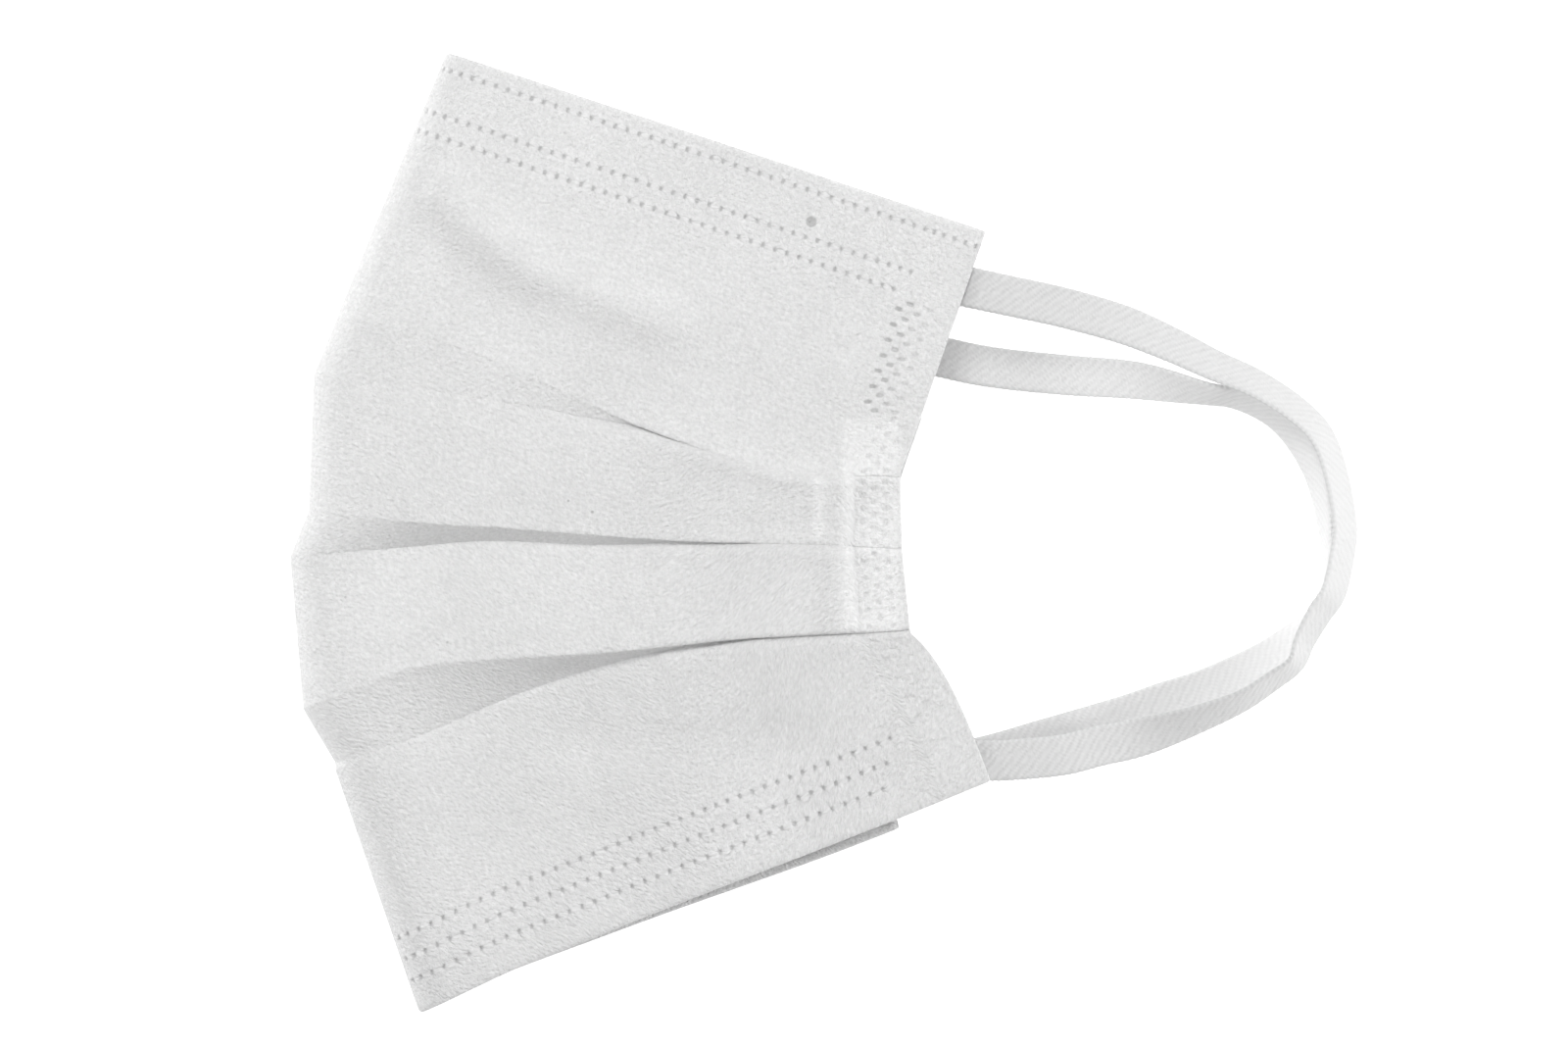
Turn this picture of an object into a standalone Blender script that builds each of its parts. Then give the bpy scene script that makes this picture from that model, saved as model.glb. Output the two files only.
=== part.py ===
"""A pleated surgical face mask, folded in half along its nose-to-chin line and lying on its far half.

The near half is up. The centre fold is at -X, the side edges and the ear loops are at +X, the nose
edge is at +Y and the chin edge at -Y. Everything is in metres and stands on the plane Z = 0.
"""
import math
from collections import namedtuple

import bmesh
import bpy
from mathutils import Vector

# Cloth
WALL = 0.0010
LAYER_GAP = 0.00035
CENTRE_HEIGHT = 0.1491
CENTRE_BULGE = 0.0221
CHIN_SHIFT = -0.0042
HALF_WIDTH = 0.0880
TOP_SLOPE = math.radians(18.5)
SIDE_HEIGHT = 0.0850
SIDE_LEAN = math.radians(0.5)
SIDE_DIP = 0.0138
LINE_SAG = 0.0045
OPEN_HEIGHT = 0.0150
OPEN_EASE = 0.60
PLEAT_DEPTH = 0.0040
DEPTH_START = 0.0140
FOLD_DEPTH = 0.35

# The far half is turned a little under the near one, because the chin isn't folded at its middle
FAR_TURN = math.radians(7.3)
FAR_SHIFT_X = -0.0030
FAR_SHIFT_Y = -0.0083

# Hems turned in along the nose edge and the chin edge
TOP_HEM = 0.0150
BOTTOM_HEM = 0.0140
HEM_WALL = 0.0010
HEM_SIDE_MARGIN = 0.0130
HEM_EDGE_MARGIN = 0.0008

# Ear loops
STRAP_WIDTH = 0.0063
STRAP_THICK = 0.0010
STRAP_CHAMFER = 0.00025
LOOP_REACH = 0.0580
NEAR_ROOT_TOP = 0.0093
NEAR_ROOT_BOTTOM = 0.0037
FAR_ROOT_TOP = 0.0120
FAR_ROOT_BOTTOM = 0.0088

CLEARANCE = 0.0004
PITCH = WALL + LAYER_GAP

# Each line runs across the cloth, from the centre fold to the side edge.
# centre_along and centre_out place its start on the centre fold, as shares of CENTRE_HEIGHT and
# CENTRE_BULGE. side_along and side_in place its end, as shares of SIDE_HEIGHT and SIDE_DIP.
# centre_open and side_open are the height of the half there, as shares of OPEN_HEIGHT.
# sag is how far it bows towards the chin at each sixth of its way, as shares of LINE_SAG.
Line = namedtuple("Line", "centre_along centre_out side_along side_in centre_open side_open sag")
LINES = {
    "top":     Line(0.000, 0.000, 0.000, 0.000, 0.60, 0.80, (0.00, 0.00, 0.00, 0.00, 0.00)),
    "outer_1": Line(0.276, 0.714, 0.448, 0.990, 0.88, 1.00, (-0.24, 0.11, 0.69, 1.00, 0.89)),
    "inner_1": Line(0.337, 0.867, 0.338, 0.744, 0.90, 1.00, (0.18, 0.51, 0.87, 1.00, 0.60)),
    "outer_2": Line(0.476, 0.875, 0.577, 0.977, 0.93, 1.00, (0.16, 0.16, 0.20, 0.20, 0.11)),
    "inner_2": Line(0.525, 1.000, 0.460, 0.990, 0.93, 1.00, (0.11, 0.24, 0.78, 0.98, 0.47)),
    "outer_3": Line(0.681, 0.876, 0.725, 0.897, 0.93, 1.00, (-0.87, -0.84, -0.60, -0.47, -0.22)),
    "inner_3": Line(0.740, 0.646, 0.607, 0.968, 0.91, 1.00, (-0.02, -0.24, -0.18, 0.07, -0.07)),
    "bottom":  Line(1.000, 0.000, 1.000, 0.000, 0.67, 0.80, (-0.20, -0.18, -0.15, -0.07, 0.00)),
}

# The cloth at one pleat, from its outer fold to its inner one and out again. step is the distance from
# the named line, down the mask, and depth the distance in from the outer level. Both are in layer
# pitches, for a pleat that is folded flat, one whose return stands upright and one that is open.
# An open pleat's depth is in shares of PLEAT_DEPTH.
Bend = namedtuple("Bend", "closed_step closed_depth upright_step upright_depth open_step open_depth")
OUTER_FOLD = (
    Bend(-0.96, 0.0, -0.60, 0.00, -0.60, 0.02),
    Bend(-0.48, 0.5, -0.08, 0.12, 0.00, 0.00),
    Bend(-0.96, 1.0, 0.00, 0.70, 0.60, 0.10),
)
INNER_FOLD = (
    Bend(0.96, 1.0, 0.00, 1.70, -0.60, 0.90),
    Bend(0.48, 1.5, 0.08, 2.28, 0.00, 1.00),
    Bend(0.96, 2.0, 0.60, 2.40, 0.60, 0.98),
)
PLEATS = (1, 2, 3)

# The knee after a pleat, where the next panel starts: its step in layer pitches for the same three
# states, and the share of the inner fold's depth that an open pleat keeps there
KNEE_CLOSED = 0.45
KNEE_UPRIGHT = 1.2
KNEE_OPEN = 1.8
KNEE_RISE = 0.96

# Distances between the outer and the inner fold at which a pleat is folded flat, or open
CLOSED_OVERLAP = 0.0033
OPEN_OVERLAP = 0.0030

# Places of the rows on the flat panels, as shares of the way down the panel
TOP_PANEL = (0.18, 0.36, 0.58, 0.80)
PLEAT_PANEL = (0.5,)
BOTTOM_PANEL = (0.2, 0.4, 0.62, 0.82)

# The bottom panel's side edge swells outwards, most near the pleats and only close to the edge
SIDE_SWELL = 0.0016
SWELL_PEAK = 0.7
SWELL_FADE = 6

# Columns across one half: angles round the centre fold, then shares of the way to the side edge
FOLD_ANGLES = (0.0, 22.5, 45.0, 67.5, 90.0)
ACROSS = (
    0.035, 0.08, 0.13, 0.19, 0.26, 0.33, 0.40, 0.47, 0.54, 0.60, 0.66, 0.72, 0.78, 0.84, 0.90, 0.95, 1.0,
)
COLUMNS = range(len(FOLD_ANGLES) + len(ACROSS))

# Each section of an ear loop, from its upper root to its lower one. out is the distance from the
# line between the two roots, as a share of LOOP_REACH, and down the distance along that line, as a
# share of its length. tilt is the turn of the band, inner edge up, in degrees. root is the share of
# the root's height that is left, and layers the number of bands it lies on.
Section = namedtuple("Section", "out down tilt root layers")
NEAR_LOOP = (
    Section(-0.146, -0.028, 0, 1.00, 0.0),
    Section(0.000, 0.000, 0, 1.00, 0.0),
    Section(0.120, 0.023, 4, 0.93, 0.0),
    Section(0.257, 0.049, 18, 0.72, 0.0),
    Section(0.415, 0.085, 40, 0.42, 0.0),
    Section(0.540, 0.127, 54, 0.18, 0.0),
    Section(0.656, 0.172, 58, 0.05, 0.0),
    Section(0.771, 0.214, 62, 0.00, 0.0),
    Section(0.876, 0.273, 66, 0.00, 0.0),
    Section(0.945, 0.329, 69, 0.00, 0.0),
    Section(0.979, 0.410, 68, 0.00, 0.0),
    Section(0.998, 0.516, 61, 0.00, 0.5),
    Section(0.988, 0.576, 57, 0.00, 1.2),
    Section(0.958, 0.664, 55, 0.00, 1.8),
    Section(0.918, 0.713, 58, 0.00, 1.8),
    Section(0.880, 0.768, 68, 0.00, 1.7),
    Section(0.847, 0.812, 79, 0.00, 1.2),
    Section(0.804, 0.848, 86, 0.00, 0.7),
    Section(0.743, 0.879, 84, 0.00, 0.2),
    Section(0.626, 0.924, 72, 0.00, 0.0),
    Section(0.479, 0.953, 50, 0.04, 0.0),
    Section(0.332, 0.973, 28, 0.25, 0.0),
    Section(0.199, 0.988, 10, 0.55, 0.0),
    Section(0.076, 0.997, 2, 0.88, 0.0),
    Section(0.000, 1.000, 0, 1.00, 0.0),
    Section(-0.136, 1.013, 0, 1.00, 0.0),
)
FAR_LOOP = (
    Section(-0.144, -0.010, 0, 1.00, 0.0),
    Section(0.000, 0.000, 0, 1.00, 0.0),
    Section(0.160, 0.012, 8, 0.80, 0.0),
    Section(0.363, 0.013, 36, 0.30, 0.0),
    Section(0.553, 0.007, 44, 0.00, 0.0),
    Section(0.741, 0.001, 51, 0.00, 0.0),
    Section(0.836, 0.004, 53, 0.00, 0.0),
    Section(0.924, 0.030, 56, 0.00, 0.0),
    Section(0.999, 0.079, 58, 0.00, 0.0),
    Section(1.070, 0.158, 54, 0.00, 0.0),
    Section(1.100, 0.217, 58, 0.00, 0.0),
    Section(1.121, 0.277, 61, 0.00, 0.0),
    Section(1.135, 0.338, 58, 0.00, 0.0),
    Section(1.141, 0.407, 54, 0.00, 0.0),
    Section(1.121, 0.474, 50, 0.00, 0.0),
    Section(1.087, 0.528, 36, 0.00, 0.0),
    Section(1.045, 0.570, 20, 0.00, 0.0),
    Section(0.990, 0.617, 10, 0.00, 0.0),
    Section(0.892, 0.677, 6, 0.00, 0.0),
    Section(0.726, 0.747, 5, 0.00, 0.0),
    Section(0.617, 0.793, 5, 0.00, 0.0),
    Section(0.425, 0.865, 3, 0.20, 0.0),
    Section(0.257, 0.926, 2, 0.60, 0.0),
    Section(0.000, 1.000, 0, 1.00, 0.0),
    Section(-0.119, 1.033, 0, 1.00, 0.0),
)
RINGS_PER_SECTION = 3

# Finishes
CLOTH_COLOUR = (0.86, 0.87, 0.88)
HEM_COLOUR = (0.84, 0.85, 0.86)
KNIT_COLOUR = (0.82, 0.82, 0.83)
CLOTH_ROUGHNESS = 0.85
KNIT_ROUGHNESS = 0.9
SHARP_EDGE = math.radians(35.0)

# The panel above a fold, seen from that fold: it starts at a distance first, and over the length run
# it falls from the outer level to a depth
Ramp = namedtuple("Ramp", "first run depth")


def smooth(share):
    """Eases a share from 0 to 1."""
    share = min(max(share, 0.0), 1.0)
    return share * share * (3.0 - 2.0 * share)


def ramp_depth(ramp, distance):
    """How far a panel is below the outer level, at a distance up from the fold."""
    return ramp.depth * min(max((distance - ramp.first) / ramp.run, 0.0), 1.0)


def through(values, place):
    """Reads a smooth curve through evenly spaced values, with place from 0 to len(values) - 1."""
    last = len(values) - 1
    index = min(int(place), last - 1)
    share = place - index
    before = values[max(index - 1, 0)]
    start = values[index]
    end = values[index + 1]
    after = values[min(index + 2, last)]
    return 0.5 * (
        2.0 * start
        + (end - before) * share
        + (2.0 * before - 5.0 * start + 4.0 * end - after) * share ** 2
        + (3.0 * start - before - 3.0 * end + after) * share ** 3
    )


class Half:
    """One half of the folded cloth. side is 1 for the near half, which is up, and -1 for the far one."""

    def __init__(self, side):
        self.side = side

    def centre_point(self, line):
        chin = Vector((CHIN_SHIFT, -CENTRE_HEIGHT))
        outward = Vector((-CENTRE_BULGE, 0.0))
        return chin * line.centre_along + outward * line.centre_out

    def side_point(self, line):
        corner = Vector((HALF_WIDTH * math.cos(TOP_SLOPE), -HALF_WIDTH * math.sin(TOP_SLOPE)))
        lean = SIDE_LEAN
        if self.side < 0:
            corner += Vector((FAR_SHIFT_X, FAR_SHIFT_Y))
            lean -= FAR_TURN
        down = Vector((math.sin(lean), -math.cos(lean)))
        inward = Vector((down.y, -down.x))
        return corner + down * (SIDE_HEIGHT * line.side_along) + inward * (SIDE_DIP * line.side_in)

    def on_line(self, name, share):
        """A line's place in plan, at a share of its way from the centre fold to the side edge."""
        line = LINES[name]
        start = self.centre_point(line)
        end = self.side_point(line)
        values = (0.0,) + line.sag + (0.0,)
        sag = LINE_SAG * through(values, share * (len(values) - 1))
        return start.lerp(end, share) - Vector((0.0, sag))

    def length(self, name):
        line = LINES[name]
        return (self.side_point(line) - self.centre_point(line)).length

    def fold_radius(self, name):
        """The radius of the cloth's middle round the centre fold, at one line."""
        return (LINES[name].centre_open * OPEN_HEIGHT - WALL) / 2.0

    def place(self, name, column):
        """The share along a line of one column, its angle round the centre fold and its way out."""
        radius = self.fold_radius(name)
        if column < len(FOLD_ANGLES):
            angle = math.radians(FOLD_ANGLES[column])
            return radius * (1.0 - math.cos(angle)) / self.length(name), angle, 0.0
        way = ACROSS[column - len(FOLD_ANGLES)]
        start = radius / self.length(name)
        return start + (1.0 - start) * way, math.radians(FOLD_ANGLES[-1]), way

    def down(self, column):
        """The direction down the mask at one column."""
        top = self.on_line("top", self.place("top", column)[0])
        bottom = self.on_line("bottom", self.place("bottom", column)[0])
        return (bottom - top).normalized()

    def plan(self, name, column, step=0.0):
        """A line's place in plan at one column, or a step down the mask from it."""
        return self.on_line(name, self.place(name, column)[0]) + self.down(column) * step

    def spread(self, number, column):
        """How far down the mask a pleat's inner fold lies from its outer one; negative when closed."""
        way = self.plan(f"inner_{number}", column) - self.plan(f"outer_{number}", column)
        return way.dot(self.down(column))

    def pleat_rows(self, number, column, above):
        """One pleat's points as (line, step down from it, depth in), under the panel above it."""
        spread = self.spread(number, column)
        closed = min(max(-spread / CLOSED_OVERLAP, 0.0), 1.0)
        opened = min(max(spread / OPEN_OVERLAP, 0.0), 1.0)
        upright = 1.0 - closed - opened
        outer = f"outer_{number}"
        inner = f"inner_{number}"
        rows = []
        for name, bends in ((outer, OUTER_FOLD), (inner, INNER_FOLD)):
            for bend in bends:
                step = closed * bend.closed_step + upright * bend.upright_step + opened * bend.open_step
                step *= PITCH
                depth = PITCH * (closed * bend.closed_depth + upright * bend.upright_depth)
                depth += opened * bend.open_depth * PLEAT_DEPTH
                if name == inner:
                    depth += closed * ramp_depth(above, -(spread + step))
                rows.append((name, step, depth))
        if spread < 0.0:
            # The knee is where the next panel has passed under the outer fold and starts to rise
            step = PITCH * (closed * KNEE_CLOSED + upright * KNEE_UPRIGHT)
            depth = PITCH * (closed * INNER_FOLD[2].closed_depth + upright * INNER_FOLD[2].upright_depth)
            rows.append((outer, step, depth))
        else:
            step = PITCH * (upright * KNEE_UPRIGHT + opened * KNEE_OPEN)
            rows.append((inner, step, rows[-1][2] * KNEE_RISE))
        return rows

    def pleats(self, column):
        """The rows of all the pleats down one column, from the nose edge to the chin."""
        above = self.top_ramp(column)
        pleats = []
        for number in PLEATS:
            if pleats:
                above = self.panel_ramp(number, column, pleats[-1][-1])
            pleats.append(self.pleat_rows(number, column, above))
        return pleats

    def top_ramp(self, column):
        """The top panel, up from the first outer fold."""
        top = self.middle("top", column, 0.0, 0.0)
        outer = self.middle("outer_1", column, 0.0, 0.0)
        return Ramp(0.0, (outer - top).to_2d().length, max((outer.z - top.z) * self.side, 0.0))

    def panel_ramp(self, number, column, knee):
        """The panel between a knee and the next outer fold, up from that fold."""
        name, step, depth = knee
        first = -PITCH * OUTER_FOLD[0].closed_step
        way = self.plan(f"outer_{number}", column) - self.plan(name, column, step)
        return Ramp(first, way.dot(self.down(column)) - first, depth)

    def middle(self, name, column, step, depth, inset=0.0):
        """A point of the cloth's middle, a step down from a line and a depth in from the outer level."""
        line = LINES[name]
        angle, way = self.place(name, column)[1:]
        plan = self.plan(name, column, step)
        along = (self.side_point(line) - self.centre_point(line)).normalized()
        grown = smooth(way * self.length(name) / DEPTH_START)
        inward = inset + depth * (FOLD_DEPTH * math.sin(angle) + (1.0 - FOLD_DEPTH) * grown)
        plan += along * (WALL / 2.0 * (1.0 - way))
        if way == 0.0:
            # Round the centre fold the depth is measured towards the middle of the fold
            plan += along * (inward * math.cos(angle))
            rise = self.side * (self.fold_radius(name) - inward) * math.sin(angle)
            height = line.centre_open * OPEN_HEIGHT / 2.0 + rise
        elif self.side < 0:
            height = WALL / 2.0 + inward
        else:
            rise = (line.side_open - line.centre_open) * smooth(way / OPEN_EASE)
            height = OPEN_HEIGHT * (line.centre_open + rise) - WALL / 2.0 - inward
        return Vector((plan.x, plan.y, height))

    def cloth_column(self, column):
        """The middle of the whole cloth down one column."""
        top = self.middle("top", column, 0.0, 0.0)
        bottom = self.middle("bottom", column, 0.0, 0.0)
        first, second, third = [
            [self.middle(name, column, step, depth) for name, step, depth in pleat]
            for pleat in self.pleats(column)
        ]
        swell = SIDE_SWELL * self.place("bottom", column)[2] ** SWELL_FADE
        points = [top] + panel(top, first[0], TOP_PANEL) + first
        points += panel(first[-1], second[0], PLEAT_PANEL) + second
        points += panel(second[-1], third[0], PLEAT_PANEL) + third
        points += panel(third[-1], bottom, BOTTOM_PANEL, swell) + [bottom]
        return points

    def edge_panel(self, column, at_top):
        """The start and the end of the last row gap on a panel: its outer edge and the row by the pleats."""
        cloth = self.cloth_column(column)
        if at_top:
            return cloth[0], cloth[len(TOP_PANEL)]
        return cloth[-1], cloth[-1 - len(BOTTOM_PANEL)]

    def hem_column(self, column, width, at_top):
        """The middle of a turned-in hem down one column, one layer in from the cloth."""
        edge, inner = self.edge_panel(column, at_top)
        inset = (WALL + HEM_WALL) / 2.0 + CLEARANCE
        start = self.middle("top" if at_top else "bottom", column, 0.0, 0.0, inset)
        run = (inner - edge).length
        return [start + (inner - edge) * (way / run) for way in (HEM_EDGE_MARGIN, width / 2.0, width)]

    def loop_root(self, at_top, distance):
        """Where an ear loop leaves the side edge: its middle there and how far its inner edge is up."""
        corner, inner = self.edge_panel(COLUMNS[-1], at_top)
        place = corner.lerp(inner, distance / (inner - corner).length)
        level = (inner - corner).to_2d().length
        tilt = math.atan2(inner.z - corner.z, level)
        place.z -= self.side * ((WALL + STRAP_THICK) / 2.0 + CLEARANCE) / math.cos(tilt)
        return place, tilt


def panel(first, last, shares, swell=0.0):
    """Points between two others, with a sideways swell that is greatest near the first."""
    across = (last - first).normalized()
    out = Vector((-across.y, across.x, 0.0)) * swell
    return [first.lerp(last, share) + out * math.sin(math.pi * share ** SWELL_PEAK) for share in shares]


def strap_rings(roots, sections):
    """Outlines of a band's cross-section along its way from one root to the other."""
    (top, top_tilt), (bottom, bottom_tilt) = roots
    line = (bottom - top).to_2d()
    away = Vector((-line.y, line.x)).normalized() * LOOP_REACH
    stations = []
    for index, section in enumerate(sections):
        root, root_tilt = (top, top_tilt) if index < len(sections) / 2 else (bottom, bottom_tilt)
        plan = top.to_2d() + line * section.down + away * section.out
        tilt = math.radians(section.tilt) + root_tilt * section.root
        height = resting_height(tilt) + section.layers * (STRAP_THICK + CLEARANCE)
        height += section.root * (root.z - resting_height(root_tilt))
        stations.append((plan.x, plan.y, height, tilt))
    count = (len(stations) - 1) * RINGS_PER_SECTION
    route = []
    for index in range(count + 1):
        place = index / RINGS_PER_SECTION
        route.append([through(values, place) for values in zip(*stations)])
    half_width = STRAP_WIDTH / 2.0
    half_thick = STRAP_THICK / 2.0
    narrow = half_width - STRAP_CHAMFER
    thin = half_thick - STRAP_CHAMFER
    outline = (
        (half_width, -thin), (half_width, thin), (narrow, half_thick), (-narrow, half_thick),
        (-half_width, thin), (-half_width, -thin), (-narrow, -half_thick), (narrow, -half_thick),
    )
    rings = []
    for index, (x, y, z, tilt) in enumerate(route):
        ahead = route[min(index + 1, count)]
        behind = route[max(index - 1, 0)]
        outward = Vector((behind[1] - ahead[1], ahead[0] - behind[0], 0.0)).normalized()
        across = outward * math.cos(tilt) - Vector((0.0, 0.0, math.sin(tilt)))
        face = outward * math.sin(tilt) + Vector((0.0, 0.0, math.cos(tilt)))
        rings.append([Vector((x, y, z)) + across * wide + face * thick for wide, thick in outline])
    return rings


def resting_height(tilt):
    """The height of a band's middle when its lower edge touches the surface it lies on."""
    return (STRAP_WIDTH * abs(math.sin(tilt)) + STRAP_THICK * math.cos(tilt)) / 2.0


def strap_object(name, rings, material):
    """A band drawn out from its first cross-section through all the others."""
    band = bmesh.new()
    ring = [band.verts.new(place) for place in rings[0]]
    band.faces.new(ring)
    for places in rings[1:]:
        edges = [band.edges.get((ring[index - 1], ring[index])) for index in range(len(ring))]
        drawn = bmesh.ops.extrude_edge_only(band, edges=edges)["geom"]
        copies = {tuple(item.co): item for item in drawn if isinstance(item, bmesh.types.BMVert)}
        ring = [copies[tuple(vertex.co)] for vertex in ring]
        for vertex, place in zip(ring, places):
            vertex.co = place
    band.faces.new(ring)
    bmesh.ops.recalc_face_normals(band, faces=band.faces)
    mesh = bpy.data.meshes.new(name)
    band.to_mesh(mesh)
    band.free()
    mesh.materials.append(material)
    mesh.shade_smooth()
    mesh.set_sharp_from_angle(angle=SHARP_EDGE)
    strap = bpy.data.objects.new(name, mesh)
    bpy.context.collection.objects.link(strap)
    return strap


def sheet_object(name, columns, wall, material):
    """A cloth object with a wall, from a grid whose columns are given as lists of middle points."""
    mesh = bpy.data.meshes.new(name)
    sheet = bmesh.new()
    count_across = len(columns)
    count_down = len(columns[0])
    bmesh.ops.create_grid(sheet, x_segments=count_across - 1, y_segments=count_down - 1, size=1.0)
    sheet.verts.ensure_lookup_table()
    for index, vertex in enumerate(sheet.verts):
        vertex.co = columns[index % count_across][index // count_across]
    bmesh.ops.recalc_face_normals(sheet, faces=sheet.faces)
    sheet.to_mesh(mesh)
    sheet.free()
    mesh.materials.append(material)
    mesh.shade_smooth()
    cloth = bpy.data.objects.new(name, mesh)
    bpy.context.collection.objects.link(cloth)
    solidify = cloth.modifiers.new("Wall", "SOLIDIFY")
    solidify.thickness = wall
    solidify.offset = 0.0
    solidify.use_even_offset = True
    solidify.use_rim = True
    return cloth


def finish(name, colour, roughness):
    """A plain material with a colour and a roughness."""
    material = bpy.data.materials.new(name)
    material.use_nodes = True
    shader = material.node_tree.nodes["Principled BSDF"]
    shader.inputs["Base Color"].default_value = (*colour, 1.0)
    shader.inputs["Roughness"].default_value = roughness
    shader.inputs["Metallic"].default_value = 0.0
    return material


def both_halves(make_column, columns, *settings):
    """Columns from the far half's side, round the centre fold, to the near half's side."""
    near = Half(1)
    far = Half(-1)
    far_side = [make_column(far, column, *settings) for column in reversed(columns) if column > 0]
    near_side = [make_column(near, column, *settings) for column in columns]
    return far_side + near_side


def mask_body(material):
    return sheet_object("mask_body", both_halves(Half.cloth_column, COLUMNS), WALL, material)


def hem(name, width, at_top, material):
    near = Half(1)
    edge = "top" if at_top else "bottom"
    limit = 1.0 - HEM_SIDE_MARGIN / near.length(edge)
    used = [column for column in COLUMNS if near.place(edge, column)[2] <= limit]
    columns = both_halves(Half.hem_column, used, width, at_top)
    return sheet_object(name, columns, HEM_WALL, material)


def ear_loop(name, half, root_distances, sections, material):
    roots = (half.loop_root(True, root_distances[0]), half.loop_root(False, root_distances[1]))
    return strap_object(name, strap_rings(roots, sections), material)


def centre_over_origin(pieces):
    """Moves all the pieces together, so that the middle of their box stands over the origin."""
    bpy.context.view_layer.update()
    graph = bpy.context.evaluated_depsgraph_get()
    corners = [Vector(corner) for piece in pieces for corner in piece.evaluated_get(graph).bound_box]
    lowest = Vector([min(corner[axis] for corner in corners) for axis in range(3)])
    highest = Vector([max(corner[axis] for corner in corners) for axis in range(3)])
    shift = Vector((-(lowest.x + highest.x) / 2.0, -(lowest.y + highest.y) / 2.0, -lowest.z))
    for piece in pieces:
        piece.location = shift
    bpy.context.view_layer.update()


def main():
    for leftover in list(bpy.data.objects):
        bpy.data.objects.remove(leftover)
    cloth_finish = finish("nonwoven_cloth", CLOTH_COLOUR, CLOTH_ROUGHNESS)
    hem_finish = finish("hem_cloth", HEM_COLOUR, CLOTH_ROUGHNESS)
    knit_finish = finish("knitted_band", KNIT_COLOUR, KNIT_ROUGHNESS)
    pieces = [
        mask_body(cloth_finish),
        hem("top_hem", TOP_HEM, True, hem_finish),
        hem("bottom_hem", BOTTOM_HEM, False, hem_finish),
        ear_loop("ear_loop_near", Half(1), (NEAR_ROOT_TOP, NEAR_ROOT_BOTTOM), NEAR_LOOP, knit_finish),
        ear_loop("ear_loop_far", Half(-1), (FAR_ROOT_TOP, FAR_ROOT_BOTTOM), FAR_LOOP, knit_finish),
    ]
    centre_over_origin(pieces)


main()
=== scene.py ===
"""Looks of a pleated face mask that is folded in half and lies on its far half."""

import math
from collections import namedtuple

import bmesh
import bpy
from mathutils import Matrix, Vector, noise


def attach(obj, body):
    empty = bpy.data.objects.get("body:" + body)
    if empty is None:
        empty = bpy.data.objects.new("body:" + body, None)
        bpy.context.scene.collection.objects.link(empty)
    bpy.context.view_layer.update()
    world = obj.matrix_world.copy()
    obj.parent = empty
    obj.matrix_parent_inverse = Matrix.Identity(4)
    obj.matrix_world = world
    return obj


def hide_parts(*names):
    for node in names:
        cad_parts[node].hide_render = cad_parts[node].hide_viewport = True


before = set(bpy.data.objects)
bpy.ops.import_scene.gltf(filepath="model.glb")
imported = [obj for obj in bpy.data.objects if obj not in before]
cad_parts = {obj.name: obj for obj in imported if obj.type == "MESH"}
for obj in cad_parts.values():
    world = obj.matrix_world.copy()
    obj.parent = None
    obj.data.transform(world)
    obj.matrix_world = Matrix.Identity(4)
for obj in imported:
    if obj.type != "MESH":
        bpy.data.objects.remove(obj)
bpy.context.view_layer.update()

# Cloth, in metres
WALL = 0.0003
SOLID_WALL = 0.0010
CENTRE_HEIGHT = 0.1491
CENTRE_BULGE = 0.0221
CHIN_SHIFT = -0.0042
HALF_WIDTH = 0.0880
TOP_SLOPE = math.radians(18.5)
SIDE_HEIGHT = 0.0850
SIDE_LEAN = math.radians(0.5)
SIDE_DIP = 0.0138
LINE_SAG = 0.0045
OPEN_HEIGHT = 0.0150
OPEN_EASE = 0.60
DEPTH_START = 0.0140
FOLD_DEPTH = 0.35
FAR_TURN = math.radians(7.3)
FAR_SHIFT_X = -0.0030
FAR_SHIFT_Y = -0.0083
FRAME_SHIFT = Vector((-0.0584327, 0.0745223, 0.0000679))

# Hems
TOP_HEM = 0.0150
BOTTOM_HEM = 0.0140
HEM_SIDE_MARGIN = 0.0130
HEM_PITCH = 0.0006
HEM_START = 0.0018
HEM_TURN = 0.0006
HEM_TURN_MIDDLE = 0.00025
HEM_GAP = 0.0005

# Ear loops
STRAP_WIDTH = 0.0063
STRAP_THICK = 0.0010
LOOP_REACH = 0.0580
NEAR_ROOT_TOP = 0.0093
NEAR_ROOT_BOTTOM = 0.0037
FAR_ROOT_TOP = 0.0120
FAR_ROOT_BOTTOM = 0.0088
ROOT_CLEARANCE = 0.0004
FLOOR_GAP = 0.00006

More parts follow.
